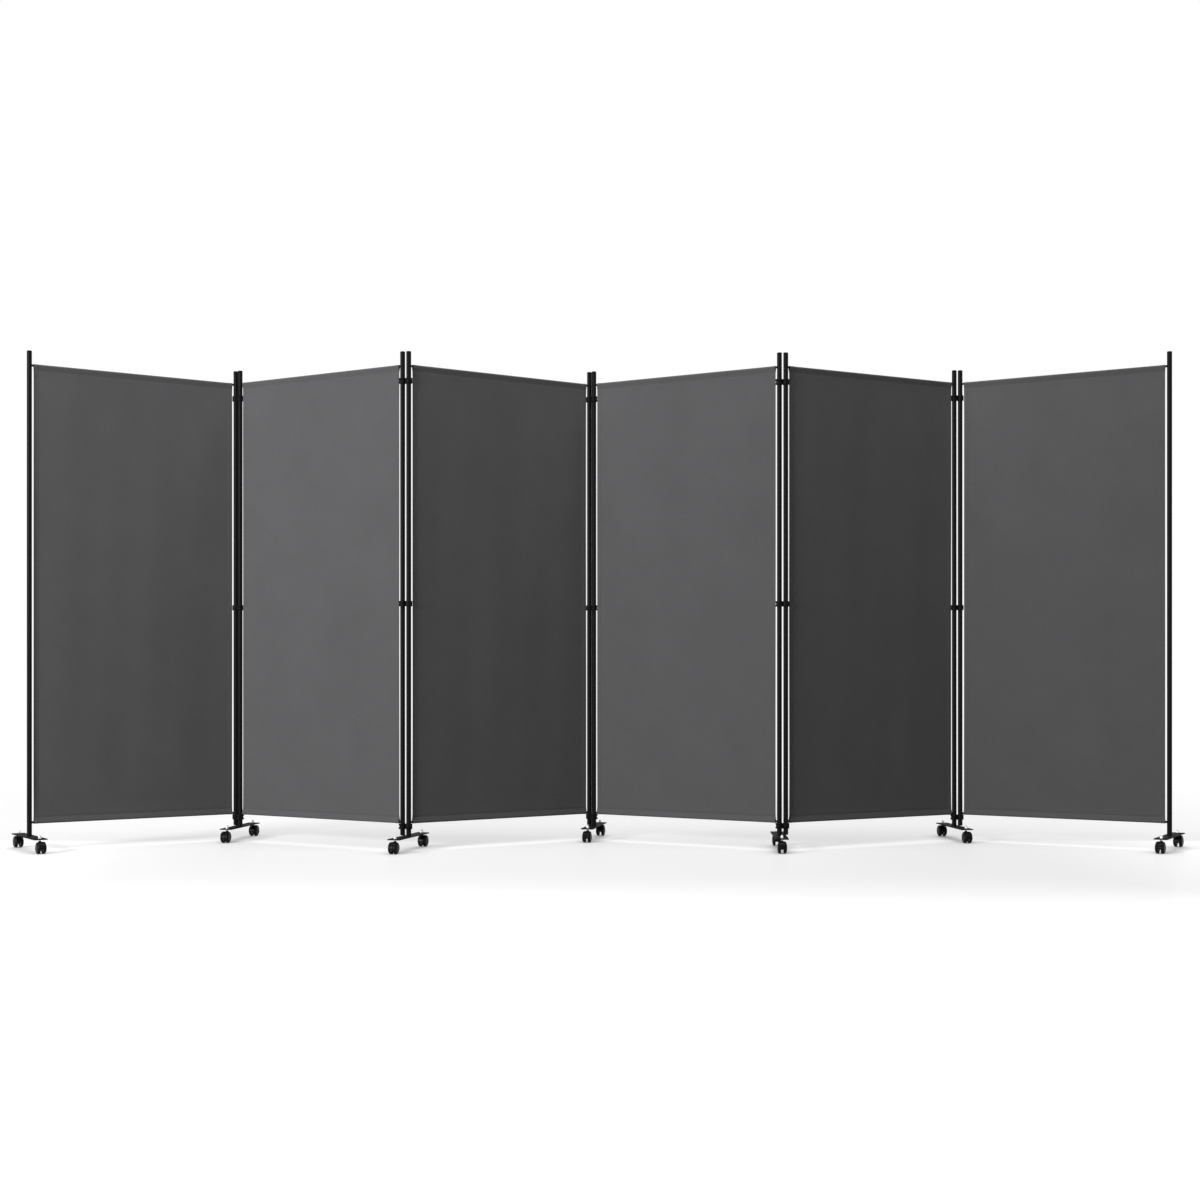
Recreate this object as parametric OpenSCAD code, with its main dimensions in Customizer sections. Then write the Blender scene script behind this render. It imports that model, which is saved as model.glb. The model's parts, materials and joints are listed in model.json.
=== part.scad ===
// Folding room divider: six fabric panels between round steel posts. Each fabric is stretched
// between a top and a bottom rod, neighbouring posts are joined by double-ring clips, and
// seven turning foot plates on twin-wheel casters carry the screen.
// Millimetres, +Z up. The origin is on the floor under the middle of the screen as it stands.
// X runs along the screen, from panel 1 to panel 6, and Y runs to its back.

/* [Posts] */
// Height of the posts above the floor, with their caps
overall_h = 1726; // [1200:1:2200]
// Outer diameter of a post
post_d = 17; // [15:0.5:22]
// Wall of a post's tube
post_wall = 1.2; // [0.8:0.1:2]
// Height of a cap's head on top of a post
cap_h = 6; // [4:0.5:10]
// Radius of the rounded edge of a cap's head
cap_edge_r = 2; // [0.5:0.1:3]
// Length of the plug that a cap or foot insert has inside the tube
plug_l = 22; // [12:1:30]
// Height of the cap's head under a post that has no foot
glide_h = 3; // [2:0.5:5]

/* [Rods and fabric] */
// Distance between the centres of a panel's two posts
post_spacing = 742; // [400:1:1000]
// Diameter of the rods that hold the fabric
rod_d = 8; // [6:0.5:12]
// How far a rod's end goes past the inside of the post's wall
rod_reach = 3; // [1:0.5:4]
// Thickness of the fabric
fabric_t = 0.8; // [0.5:0.1:1.5]
// Gap between the side of the fabric and the post
fabric_side_gap = 6; // [6:0.5:20]
// How far the fabric's upper edge lies under the posts' tops
fabric_top_drop = 45; // [35:1:120]
// Height of the fabric's lower edge above the floor
fabric_bottom_z = 92; // [90:1:200]
// Width of the doubled hem along each side of the fabric
side_hem_w = 15; // [8:1:25]
// Distance of a sleeve's seam from the middle of its rod
sleeve_seam = 18; // [12:1:30]
// How far the folded fabric goes past that seam
seam_allowance = 6; // [4:1:12]

/* [Clips] */
// Gap between the two posts that a clip joins
clip_post_gap = 5; // [5:0.5:10]
// Height of a clip
clip_h = 18.6; // [16:0.2:24]
// Wall of a clip's full ring
clip_wall = 4; // [2.5:0.1:4.5]
// Wall of the two bands of a clip's other ring
band_wall = 5.4; // [4:0.1:6]
// Height of each of those bands
band_h = 6; // [4:0.2:7]
// Wall between those bands
band_recess_wall = 3.2; // [1:0.1:3.8]
// Thickness of the web between a clip's two rings
clip_web_t = 12; // [8:0.5:16]
// How far the middle of the upper clip lies under the posts' tops
top_clip_drop = 102; // [80:1:300]
// Gap between the lowest clip and the lower rod above it
clip_rod_gap = 1.3; // [1:0.1:8]

/* [Feet] */
// Distance between the caster stems of a foot
stem_spacing = 235; // [190:1:290]
// How far a foot plate goes past its stems at each end
plate_end = 17.5; // [12:0.5:30]
// Width of a foot plate
plate_w = 46; // [38:1:60]
// Thickness of a foot plate
plate_t = 3; // [2:0.1:5]
// Radius of a foot plate's corners
plate_corner_r = 6; // [2:1:15]
// Diameter of the screw that holds a foot plate to its post
post_screw_d = 6; // [5:0.5:8]
// Diameter of that screw's head
post_screw_head_d = 11; // [9:0.5:13]
// Height of that screw's head
post_screw_head_h = 3; // [2:0.5:4]

/* [Casters] */
// Diameter of a caster wheel
wheel_d = 38; // [31:0.5:46]
// Gap between the two wheels of a caster, at their treads
wheel_gap = 10; // [9:0.5:14]
// Width of a wheel's tread
tread_w = 5; // [4:0.5:9]
// Width of the rounded shoulder between a wheel's tread and its outer face
shoulder_w = 6.2; // [2:0.1:8]
// Height of that shoulder
shoulder_h = 10; // [4:0.5:13]
// Width of the rim on the inner side of a wheel
rim_w = 3.5; // [2.5:0.5:5]
// Thickness of a wheel between its hub and its rim
wheel_disc_t = 3; // [2:0.5:4]
// Diameter of a wheel's hub
hub_d = 10; // [8:0.5:14]
// How far the wheels trail behind the stem
trail = 12; // [9:0.5:14]
// Diameter of the axle
axle_d = 4; // [3:0.5:5]
// Wall of the hood over the wheels
hood_t = 2; // [1.5:0.1:2.5]
// Gap between the hood and the wheels
hood_gap = 1; // [0.6:0.1:1.5]
// Width of the hood
hood_w = 26.6; // [24:0.2:30]
// Width of the rounded edge on each side of the hood
hood_edge_w = 4; // [2:0.5:6]
// Height of that rounded edge
hood_edge_h = 2.5; // [1:0.1:2.6]
// Angle above the axle at which the hood ends over the open side of the wheels
hood_lip_angle = 25; // [15:1:40]
// How far the hood comes down below the axle on the stem's side
hood_heel_drop = 2; // [0:0.5:4]
// Height of the lower edge of the web between the wheels
hood_web_z = 15.5; // [12:0.5:17]
// Wall of the web round the axle
web_boss_wall = 4; // [3:0.5:5]
// Gap between the hood's top and the foot plate
neck_gap = 6; // [5:0.5:12]
// Diameter of the collar round the stem, where it meets the hood
collar_d = 12; // [11:0.5:14]
// Diameter of the collar's upper end
collar_top_d = 9.2; // [8:0.2:11]
// Height of the part of the collar that tapers
collar_taper_h = 4; // [2:0.5:5]
// Gap between the collar's upper end and the stem's hexagon
collar_gap = 2; // [1:0.1:3]
// Diameter of the threaded stem
stem_d = 6; // [5:0.5:6.5]
// Width across the flats of the stem's hexagon and of its nut
stem_hex = 10; // [8:0.5:11]
// Thickness of the stem's hexagon under the plate
stem_hex_h = 1.5; // [1:0.5:2]
// Height of the hexagonal part of the dome nut
nut_h = 5; // [4:0.5:7]
// Height of the nut's dome
nut_dome_h = 7; // [4:0.5:8]

/* [Stance] */
// Direction of panel 1 along the screen, in degrees
panel_1_heading = 32.5; // [20:0.5:35]
// Direction of panel 2
panel_2_heading = -30; // [-35:0.5:-20]
// Direction of panel 3
panel_3_heading = 33; // [20:0.5:35]
// Direction of panel 4
panel_4_heading = -29.5; // [-35:0.5:-20]
// Direction of panel 5
panel_5_heading = 27.5; // [20:0.5:35]
// Direction of panel 6
panel_6_heading = -29.5; // [-35:0.5:-20]
// Direction of clips 1, from the left post to the right one
clips_1_heading = -32; // [-40:1:20]
// Direction of clips 2
clips_2_heading = -12; // [-20:1:40]
// Direction of clips 3
clips_3_heading = -39; // [-42:1:20]
// Direction of clips 4
clips_4_heading = 0; // [-20:1:40]
// Direction of clips 5
clips_5_heading = 2; // [-40:1:20]
// Direction of the plate of foot 1, from its front caster to its back one
foot_1_heading = 125.5; // [60:0.5:130]
// Direction of the plate of foot 2
foot_2_heading = 79; // [60:0.5:120]
// Direction of the plate of foot 3
foot_3_heading = 73.5; // [60:0.5:120]
// Direction of the plate of foot 4
foot_4_heading = 79; // [60:0.5:120]
// Direction of the plate of foot 5
foot_5_heading = 88; // [60:0.5:120]
// Direction of the plate of foot 6
foot_6_heading = 98.5; // [60:0.5:120]
// Direction of the plate of foot 7
foot_7_heading = 58; // [55:0.5:120]

/* [Fits] */
// Radial clearance of what turns on a post, a stem or an axle
run_gap = 0.05; // [0.02:0.01:0.1]
// Radial clearance of what is pushed into or screwed onto another piece
seat_gap = 0.05; // [0.02:0.01:0.1]
// Gap between a foot plate and the post that turns on it
turn_gap = 0.2; // [0.1:0.1:0.4]
// Gap between a foot plate and the neighbouring post that has no foot
hover_gap = 1.5; // [1:0.1:3]
// Gap between the fabric and a rod
sleeve_gap = 0.3; // [0.2:0.1:0.6]
// Gap between a wheel's hub and the web
hub_gap = 0.5; // [0.3:0.1:0.8]

/* [Hidden] */
$fn = 64;
panel_count = 6;
panel_heading = [
    panel_1_heading, panel_2_heading, panel_3_heading,
    panel_4_heading, panel_5_heading, panel_6_heading
];
clips_heading = [
    clips_1_heading, clips_2_heading, clips_3_heading, clips_4_heading, clips_5_heading
];
foot_heading = [
    foot_1_heading, foot_2_heading, foot_3_heading, foot_4_heading,
    foot_5_heading, foot_6_heading, foot_7_heading
];
// The post that each foot stands under: its panel, and 0 for the left post or 1 for the right
foot_post = [[0, 0], [1, 0], [2, 0], [3, 0], [3, 1], [4, 1], [5, 1]];
// Which ring of each clip is the banded one: 0 for the left post's or 1 for the right's
banded_ring = [1, 0, 1, 0, 0];

post_r = post_d / 2;
bore_r = post_r - post_wall;
pair_spacing = post_d + clip_post_gap;
rod_r = rod_d / 2;
sleeve_in_r = rod_r + sleeve_gap;
sleeve_out_r = sleeve_in_r + fabric_t;
// Angle from the vertical at which a sleeve's side leaves its round part for the seam
sleeve_lean = atan(fabric_t / sleeve_seam) + acos(sleeve_out_r / norm([fabric_t, sleeve_seam]));
fabric_top_z = overall_h - fabric_top_drop;
rod_top_z = fabric_top_z - sleeve_out_r;
rod_bottom_z = fabric_bottom_z + sleeve_out_r;
fabric_edge = post_r + fabric_side_gap;
fabric_w = post_spacing - 2 * fabric_edge;
top_clip_z = overall_h - top_clip_drop;
bottom_clip_z = rod_bottom_z - rod_r - clip_rod_gap - clip_h / 2;
clip_levels = [bottom_clip_z, (bottom_clip_z + top_clip_z) / 2, top_clip_z];
plate_l = stem_spacing + 2 * plate_end;
wheel_r = wheel_d / 2;
wheel_in_y = wheel_gap / 2;
tread_out_y = wheel_in_y + tread_w;
hood_in_r = wheel_r + hood_gap;
hood_out_r = hood_in_r + hood_t;
plate_bottom_z = wheel_r + hood_out_r + neck_gap;
plate_top_z = plate_bottom_z + plate_t;
web_half_t = wheel_in_y - hub_gap;
stem_r = stem_d / 2;
axle_r = axle_d / 2;
collar_top_z = plate_bottom_z - stem_hex_h - collar_gap;
stem_x = stem_spacing / 2;
wheel_x = stem_x + trail;
// The stem ends this far above the web's lower edge, and its snap ring sits above that end
stem_bottom_z = hood_web_z + 8;
snap_ring_z = stem_bottom_z + 2.5;
snap_ring_h = 1.2;
snap_ring_r = stem_r + 0.6;
snap_groove_gap = 0.2;

// Where things stand, before the origin is moved under the middle
function heading(a) = [cos(a), sin(a)];
function first_post(i) =
    i == 0 ? [0, 0]
    : first_post(i - 1) + post_spacing * heading(panel_heading[i - 1])
        + pair_spacing * heading(clips_heading[i - 1]);
function raw_post(i, side) = first_post(i) + side * post_spacing * heading(panel_heading[i]);
function turned(p, a) = [p[0] * cos(a) - p[1] * sin(a), p[0] * sin(a) + p[1] * cos(a)];
// Plan outline of a foot, from the plate's corners and the wheels' domed sides
foot_outline = [
    for (sx = [-1, 1], sy = [-1, 1], t = [0:15:90])
        each [
            [
                sx * (plate_l / 2 - plate_corner_r + plate_corner_r * cos(t)),
                sy * (plate_w / 2 - plate_corner_r + plate_corner_r * sin(t))
            ],
            [
                sx * (wheel_x + wheel_r - shoulder_h * (1 - cos(t))),
                sy * (tread_out_y + shoulder_w * sin(t))
            ]
        ]
];
raw_outline = [
    for (k = [0:len(foot_post) - 1], p = foot_outline)
        raw_post(foot_post[k][0], foot_post[k][1]) + turned(p, foot_heading[k])
];
plan_x = [for (p = raw_outline) p[0]];
plan_y = [for (p = raw_outline) p[1]];
middle = [(min(plan_x) + max(plan_x)) / 2, (min(plan_y) + max(plan_y)) / 2];
function post_at(i, side) = raw_post(i, side) - middle;
function has_foot(i, side) = len([for (f = foot_post) if (f == [i, side]) f]) > 0;
function post_bottom_z(i, side) = plate_top_z + (has_foot(i, side) ? turn_gap : hover_gap);

// A cylinder along Y, from y0 to y1
module y_cylinder(r, y0, y1) {
    translate([0, y0, 0]) rotate([-90, 0, 0]) cylinder(r = r, h = y1 - y0);
}

// A round head with a rounded outer edge, as a solid of revolution from z = 0 up
module rounded_head(r, h, edge) {
    rotate_extrude() {
        square([r, h - edge]);
        square([r - edge, h]);
        intersection() {
            translate([r - edge, h - edge]) circle(r = edge);
            square([r, h]);
        }
    }
}

// Puts a child that is drawn along +X, from the left post's axis, onto a panel
module on_panel(i) {
    translate(post_at(i, 0)) rotate(panel_heading[i]) children();
}

// Puts a child that is drawn round the Z axis, with +X along the plate, onto a foot
module on_foot(k) {
    translate(post_at(foot_post[k][0], foot_post[k][1])) rotate(foot_heading[k]) children();
}

// Puts a child that is drawn round a stem, with the wheels trailing to +X, under a plate's end
module on_stem(k, back) {
    on_foot(k) rotate(back ? 0 : 180) translate([stem_x, 0, 0]) children();
}

// A post's tube, with the holes for its two rods on the side that faces its panel
module post_tube(i, side) {
    bottom = post_bottom_z(i, side) + (has_foot(i, side) ? 0 : glide_h + seat_gap);
    top = overall_h - cap_h - seat_gap;
    translate([side * post_spacing, 0, 0]) difference() {
        translate([0, 0, bottom]) cylinder(r = post_r, h = top - bottom);
        translate([0, 0, bottom - 1]) cylinder(r = bore_r, h = top - bottom + 2);
        for (z = [rod_bottom_z, rod_top_z])
            translate([0, 0, z]) rotate([0, side == 0 ? 90 : -90, 0])
                cylinder(r = rod_r + seat_gap, h = post_r + 1);
    }
}

// A cap's head on the tube's end and the plug that it has inside the tube
module post_cap(i, side) {
    translate([side * post_spacing, 0, overall_h - cap_h]) {
        rounded_head(post_r, cap_h, cap_edge_r);
        translate([0, 0, -plug_l]) cylinder(r = bore_r - seat_gap, h = plug_l);
    }
}

// What closes a post at its lower end: an insert for the foot's screw, or a plain cap
module post_end(i, side) {
    translate([side * post_spacing, 0, post_bottom_z(i, side)])
        if (has_foot(i, side))
            difference() {
                cylinder(r = bore_r - seat_gap, h = plug_l);
                translate([0, 0, -1]) cylinder(r = post_screw_d / 2 + run_gap, h = plug_l + 2);
            }
        else {
            cylinder(r = post_r, h = glide_h);
            cylinder(r = bore_r - seat_gap, h = glide_h + plug_l);
        }
}

// A rod, from inside one post to inside the other
module rod(z) {
    inset = bore_r - rod_reach;
    translate([inset, 0, z]) rotate([0, 90, 0]) cylinder(r = rod_r, h = post_spacing - 2 * inset);
}

module panel_frame(i) {
    on_panel(i) color("#1b1b1d") {
        for (side = [0, 1]) {
            post_tube(i, side);
            post_cap(i, side);
            post_end(i, side);
        }
        rod(rod_bottom_z);
        rod(rod_top_z);
    }
}

// The tapering part of a sleeve's section, from a circle round the rod to the points at its seam
module sleeve_wedge(r, seam) {
    x = r * sin(sleeve_lean);
    z = r * cos(sleeve_lean);
    polygon(concat([[-x, z]], seam, [[x, z], [0, -r / 2]]));
}

// A sleeve round a rod at z = 0, and the folded fabric up to past its seam
module sleeve_section() {
    difference() {
        union() {
            circle(r = sleeve_out_r);
            sleeve_wedge(sleeve_out_r, [[-fabric_t, sleeve_seam], [fabric_t, sleeve_seam]]);
            translate([-fabric_t, sleeve_seam]) square([2 * fabric_t, seam_allowance]);
        }
        circle(r = sleeve_in_r);
        sleeve_wedge(sleeve_in_r, [[0, sleeve_in_r / cos(sleeve_lean)]]);
    }
}

// The fabric's section across the panel: a sleeve round each rod and the sheet between them
module fabric_section(sheet_t) {
    translate([0, rod_bottom_z]) sleeve_section();
    translate([0, rod_top_z]) mirror([0, 1]) sleeve_section();
    translate([-sheet_t / 2, rod_bottom_z + sleeve_seam])
        square([sheet_t, rod_top_z - rod_bottom_z - 2 * sleeve_seam]);
}

// A stretch of the fabric, from x0 along the panel
module fabric_strip(x0, w, sheet_t) {
    translate([x0, 0, 0]) rotate([90, 0, 90]) linear_extrude(w) fabric_section(sheet_t);
}

module panel_fabric(i) {
    on_panel(i) color("#58595b") {
        fabric_strip(fabric_edge, fabric_w, fabric_t);
        for (x = [fabric_edge, fabric_edge + fabric_w - side_hem_w])
            fabric_strip(x, side_hem_w, 2 * fabric_t);
    }
}

// One clip: a full ring, a ring of two bands and the web between them
module clip(banded) {
    full_x = banded == 0 ? pair_spacing : 0;
    banded_x = banded == 0 ? 0 : pair_spacing;
    difference() {
        union() {
            translate([full_x, 0, 0]) cylinder(r = post_r + clip_wall, h = clip_h, center = true);
            translate([banded_x, 0, 0]) {
                cylinder(r = post_r + band_recess_wall, h = clip_h, center = true);
                for (z = [-1, 1]) translate([0, 0, z * (clip_h - band_h) / 2])
                    cylinder(r = post_r + band_wall, h = band_h, center = true);
            }
            translate([pair_spacing / 2, 0, 0])
                cube([pair_spacing - post_r, clip_web_t, clip_h], center = true);
        }
        for (x = [0, pair_spacing]) translate([x, 0, 0])
            cylinder(r = post_r + run_gap, h = clip_h + 2, center = true);
    }
}

module clips(i) {
    translate(post_at(i, 1)) rotate(clips_heading[i]) color("#151517")
        for (z = clip_levels) translate([0, 0, z]) clip(banded_ring[i]);
}

module foot_plate(k) {
    on_foot(k) color("#222224") translate([0, 0, plate_bottom_z]) difference() {
        linear_extrude(plate_t) {
            square([plate_l, plate_w - 2 * plate_corner_r], center = true);
            square([plate_l - 2 * plate_corner_r, plate_w], center = true);
            for (x = [-1, 1], y = [-1, 1])
                translate([x * (plate_l / 2 - plate_corner_r), y * (plate_w / 2 - plate_corner_r)])
                    circle(r = plate_corner_r);
        }
        translate([0, 0, -1]) cylinder(d = post_screw_d + 2 * seat_gap, h = plate_t + 2);
        for (x = [-stem_x, stem_x]) translate([x, 0, -1])
            cylinder(r = stem_r + seat_gap, h = plate_t + 2);
    }
}

// The screw from under the plate into the post's insert
module post_screw() {
    translate([0, 0, plate_bottom_z]) {
        cylinder(d = post_screw_d, h = plate_t + turn_gap + plug_l);
        translate([0, 0, -post_screw_head_h]) cylinder(d = post_screw_head_d, h = post_screw_head_h);
    }
}

module hexagon(across, h) {
    cylinder(d = across / cos(30), h = h, $fn = 6);
}

// A caster's stem: its threaded end over the plate, its hexagon under it, and its snap ring
module stem() {
    top = plate_top_z + nut_h;
    translate([0, 0, stem_bottom_z]) cylinder(r = stem_r, h = top - stem_bottom_z);
    translate([0, 0, snap_ring_z]) cylinder(r = snap_ring_r, h = snap_ring_h);
    translate([0, 0, plate_bottom_z - stem_hex_h]) hexagon(stem_hex, stem_hex_h);
}

// A dome nut, closed above the stem's end
module dome_nut() {
    dome_r = stem_hex / 2 - 0.25;
    translate([0, 0, plate_top_z]) difference() {
        union() {
            hexagon(stem_hex, nut_h);
            translate([0, 0, nut_h]) rounded_head(dome_r, nut_dome_h, dome_r - 0.5);
        }
        translate([0, 0, -1]) cylinder(r = stem_r + seat_gap, h = nut_h + 1 + seat_gap);
    }
}

module foot_fasteners(k) {
    on_foot(k) color("#c9cacc") {
        post_screw();
        for (x = [-stem_x, stem_x]) translate([x, 0, 0]) {
            stem();
            dome_nut();
        }
    }
}

// A round body on the axle, to the side that s gives: from y = start over a flat rim, then round
// its shoulder to its outer face
module shouldered(s, r, start, rim_y, edge_w, edge_h) {
    translate([trail, 0, wheel_r]) rotate([-90 * s, 0, 0]) rotate_extrude() polygon(concat(
        [[0, start], [r, start]],
        [for (t = [0:15:90]) [r - edge_h * (1 - cos(t)), rim_y + edge_w * sin(t)]],
        [[0, rim_y + edge_w]]
    ));
}

// The hood over a caster's wheels, the web between them and the collar round the stem
module hood_shell() {
    lip_z = wheel_r + hood_in_r * sin(hood_lip_angle);
    heel_z = wheel_r - hood_heel_drop;
    taper_z = collar_top_z - collar_taper_h;
    over_z = wheel_r + 2 * hood_out_r;
    difference() {
        union() {
            // The web, cut level above the floor
            intersection() {
                translate([trail, 0, wheel_r]) y_cylinder(hood_out_r, -web_half_t, web_half_t);
                translate([trail - hood_out_r, -web_half_t, hood_web_z])
                    cube([2 * hood_out_r, 2 * web_half_t, 2 * hood_out_r]);
            }
            translate([trail, 0, wheel_r]) y_cylinder(axle_r + web_boss_wall, -web_half_t, web_half_t);
            // The hood, lower on the stem's side than on the side where the wheels show
            intersection() {
                for (s = [-1, 1])
                    shouldered(
                        s, hood_out_r, 0, hood_w / 2 - hood_edge_w, hood_edge_w, hood_edge_h
                    );
                rotate([90, 0, 0]) linear_extrude(hood_w, center = true) polygon([
                    [trail - 2 * hood_out_r, heel_z], [trail, heel_z],
                    [trail + 2 * hood_out_r, 2 * lip_z - heel_z], [trail + 2 * hood_out_r, over_z],
                    [trail - 2 * hood_out_r, over_z]
                ]);
            }
            translate([0, 0, wheel_r]) cylinder(d = collar_d, h = taper_z - wheel_r);
            translate([0, 0, taper_z])
                cylinder(d1 = collar_d, d2 = collar_top_d, h = collar_taper_h);
        }
        // Room for each wheel, wider than the wheel by the gap all round
        for (s = [-1, 1])
            shouldered(
                s, hood_in_r, web_half_t, tread_out_y, shoulder_w + hood_gap,
                shoulder_h + hood_gap
            );
        translate([trail, 0, wheel_r]) y_cylinder(axle_r + run_gap, -hood_w, hood_w);
        translate([0, 0, stem_bottom_z - 1]) cylinder(r = stem_r + run_gap, h = collar_top_z);
        translate([0, 0, snap_ring_z - snap_groove_gap])
            cylinder(r = snap_ring_r + snap_groove_gap, h = snap_ring_h + 2 * snap_groove_gap);
    }
}

module hood(k, back) {
    on_stem(k, back) color("#1d1d1f") hood_shell();
}

// The axle that both wheels are pressed onto, and that turns in the web
module axle() {
    end_y = tread_out_y + 1;
    translate([trail, 0, wheel_r]) y_cylinder(axle_r, -end_y, end_y);
}

// A wheel's section from its axis outwards, with Y as the distance from the caster's middle
module wheel_section() {
    disc_y = tread_out_y + 1 - wheel_disc_t;
    hub_r = hub_d / 2;
    rim_in_r = wheel_r - rim_w;
    bore_end_y = tread_out_y + 1.5;
    edge = 0.8;
    polygon(concat(
        [
            [axle_r + seat_gap, wheel_in_y], [hub_r, wheel_in_y], [hub_r, disc_y],
            [rim_in_r, disc_y], [rim_in_r, wheel_in_y], [wheel_r - edge, wheel_in_y],
            [wheel_r, wheel_in_y + edge]
        ],
        [for (t = [0:15:90]) [
            wheel_r - shoulder_h * (1 - cos(t)), tread_out_y + shoulder_w * sin(t)
        ]],
        [[0, tread_out_y + shoulder_w], [0, bore_end_y], [axle_r + seat_gap, bore_end_y]]
    ));
}

module wheels(k, back) {
    on_stem(k, back) color("#131314") {
        axle();
        for (s = [-1, 1]) translate([trail, 0, wheel_r]) rotate([-90 * s, 0, 0])
            rotate_extrude() wheel_section();
    }
}

for (i = [0:panel_count - 1]) {
    panel_frame(i);
    panel_fabric(i);
}
for (i = [0:panel_count - 2]) {
    clips(i);
}
for (k = [0:len(foot_post) - 1]) {
    foot_plate(k);
    foot_fasteners(k);
    hood(k, false);
    wheels(k, false);
    hood(k, true);
    wheels(k, true);
}
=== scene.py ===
"""Folding room divider: fabric panels, posts, clips and caster feet, round the packed model."""

import json
from math import acos, asin, atan2, cos, hypot, pi, radians, sin, sqrt, tan

import bmesh
import bpy
from bpy.props import FloatProperty, FloatVectorProperty, PointerProperty
from mathutils import Matrix, Vector

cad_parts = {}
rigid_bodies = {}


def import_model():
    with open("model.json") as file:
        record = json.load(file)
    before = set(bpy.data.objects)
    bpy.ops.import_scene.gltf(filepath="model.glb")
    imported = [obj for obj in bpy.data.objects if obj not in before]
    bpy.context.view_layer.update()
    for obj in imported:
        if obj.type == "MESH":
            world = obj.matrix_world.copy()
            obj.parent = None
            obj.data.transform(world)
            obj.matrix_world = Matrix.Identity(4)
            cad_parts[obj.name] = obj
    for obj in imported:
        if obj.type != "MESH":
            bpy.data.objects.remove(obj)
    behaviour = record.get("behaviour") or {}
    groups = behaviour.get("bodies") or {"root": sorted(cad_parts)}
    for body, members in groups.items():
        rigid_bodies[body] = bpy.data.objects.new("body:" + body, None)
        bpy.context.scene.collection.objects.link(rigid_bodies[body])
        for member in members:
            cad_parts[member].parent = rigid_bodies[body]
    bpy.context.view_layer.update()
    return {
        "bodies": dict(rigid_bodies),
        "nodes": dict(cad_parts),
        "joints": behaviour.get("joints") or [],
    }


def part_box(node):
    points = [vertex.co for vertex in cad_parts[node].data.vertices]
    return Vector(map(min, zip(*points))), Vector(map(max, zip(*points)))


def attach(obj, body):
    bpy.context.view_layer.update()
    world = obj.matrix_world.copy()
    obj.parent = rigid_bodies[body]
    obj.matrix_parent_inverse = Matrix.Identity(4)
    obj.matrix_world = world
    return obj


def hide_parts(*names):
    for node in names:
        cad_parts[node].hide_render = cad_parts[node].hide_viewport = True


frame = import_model()

bl_info = {
    "name": "Folding Room Divider",
    "version": (1, 0, 0),
    "blender": (4, 5, 0),
    "location": "3D View > Sidebar > Divider",
    "description": "Makes the panels, clips, feet and stage of a folding fabric screen",
    "category": "Object",
}

PANELS = range(1, 1 + sum(name.startswith("panel_") for name in frame["bodies"]))
PLATES = sum(name.endswith("_plate") for name in frame["nodes"])
FEET = [f"foot_{number}" for number in range(1, 1 + PLATES)]

# The panels whose clips to the next panel have their banded ring on the left post
BANDED_LEFT = {2, 4, 5}

# Clearances in metres, as in the packed model
FIT = 0.00005  # Between a bore and what sits in it
REST = 0.0002  # Between a foot plate and the post that stands on it
CLEAR = 0.0015  # Between a foot plate and a post that has no foot
FOLD = 0.00002  # Half the gap between two layers of fabric


# The sizes and colours that can be changed


def length(name, description, default, low=0.0, high=5.0):
    """A property that holds a length in metres."""
    return FloatProperty(
        name=name, description=description, default=default, min=low, max=high,
        precision=4, unit="LENGTH", subtype="DISTANCE",
    )


def share(name, description, default):
    """A property that holds a share from 0 to 1."""
    return FloatProperty(
        name=name, description=description, default=default, min=0.0, max=1.0, subtype="FACTOR"
    )


def colour(name, description, default):
    """A property that holds a linear colour."""
    return FloatVectorProperty(
        name=name, description=description, default=default, size=3, min=0.0, max=1.0,
        subtype="COLOR",
    )


def power(name, description, default):
    """A property that holds the power of a lamp."""
    return FloatProperty(name=name, description=description, default=default, unit="POWER")


class PostSettings(bpy.types.PropertyGroup):
    """Posts, their caps and the rods between them."""

    diameter: length("Diameter", "Outer diameter of a post", 0.017)
    wall: length("Wall", "Wall of a post's tube", 0.0012)
    cap_height: length("Cap height", "Height of the head of a post's cap", 0.006)
    cap_edge: length("Cap edge", "Radius of the rounded edge of that head", 0.002)
    plug: length("Plug", "Length of a cap or insert inside the tube", 0.022)
    glide: length("Lower cap", "Height of the cap under a post without a foot", 0.003)
    rod_diameter: length("Rod diameter", "Diameter of the rods that hold the fabric", 0.008)
    rod_reach: length("Rod reach", "How far a rod reaches inside a post's wall", 0.003)


class FabricSettings(bpy.types.PropertyGroup):
    """The stretched fabric of a panel."""

    thickness: length("Thickness", "Thickness of one layer", 0.0008)
    side_gap: length("Side gap", "Gap between the fabric and a post", 0.006)
    sleeve_gap: length("Sleeve gap", "Gap between the fabric and a rod", 0.0003)
    seam: length("Seam", "From the middle of a rod to its sleeve's seam", 0.018)
    allowance: length("Seam allowance", "How far the folded fabric goes past that seam", 0.006)
    hem: length("Side hem", "Width of the doubled hem along each side", 0.015)
    hem_stitch: length("Hem stitching", "From the side to the hem's stitching", 0.0132)
    stitch: length("Stitch", "Length of one stitch with its gap", 0.0032)
    ripple: length("Ripple", "Height of the fabric's gentle waves", 0.0007)
    thread: length("Thread", "Distance between two threads", 0.0006)
    tint: colour("Colour", "Colour of the fabric's threads", (0.145, 0.145, 0.15))


class ClipSettings(bpy.types.PropertyGroup):
    """The double-ring clips between two posts."""

    height: length("Height", "Height of a clip", 0.0186)
    wall: length("Full ring", "Wall of the full ring", 0.004)
    band_wall: length("Bands", "Wall of the two bands of the other ring", 0.0054)
    band_height: length("Band height", "Height of each of those bands", 0.006)
    recess_wall: length("Recess", "Wall between those bands", 0.0032)
    waist: length("Waist", "Thickness of the clip between its rings", 0.0124)


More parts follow.
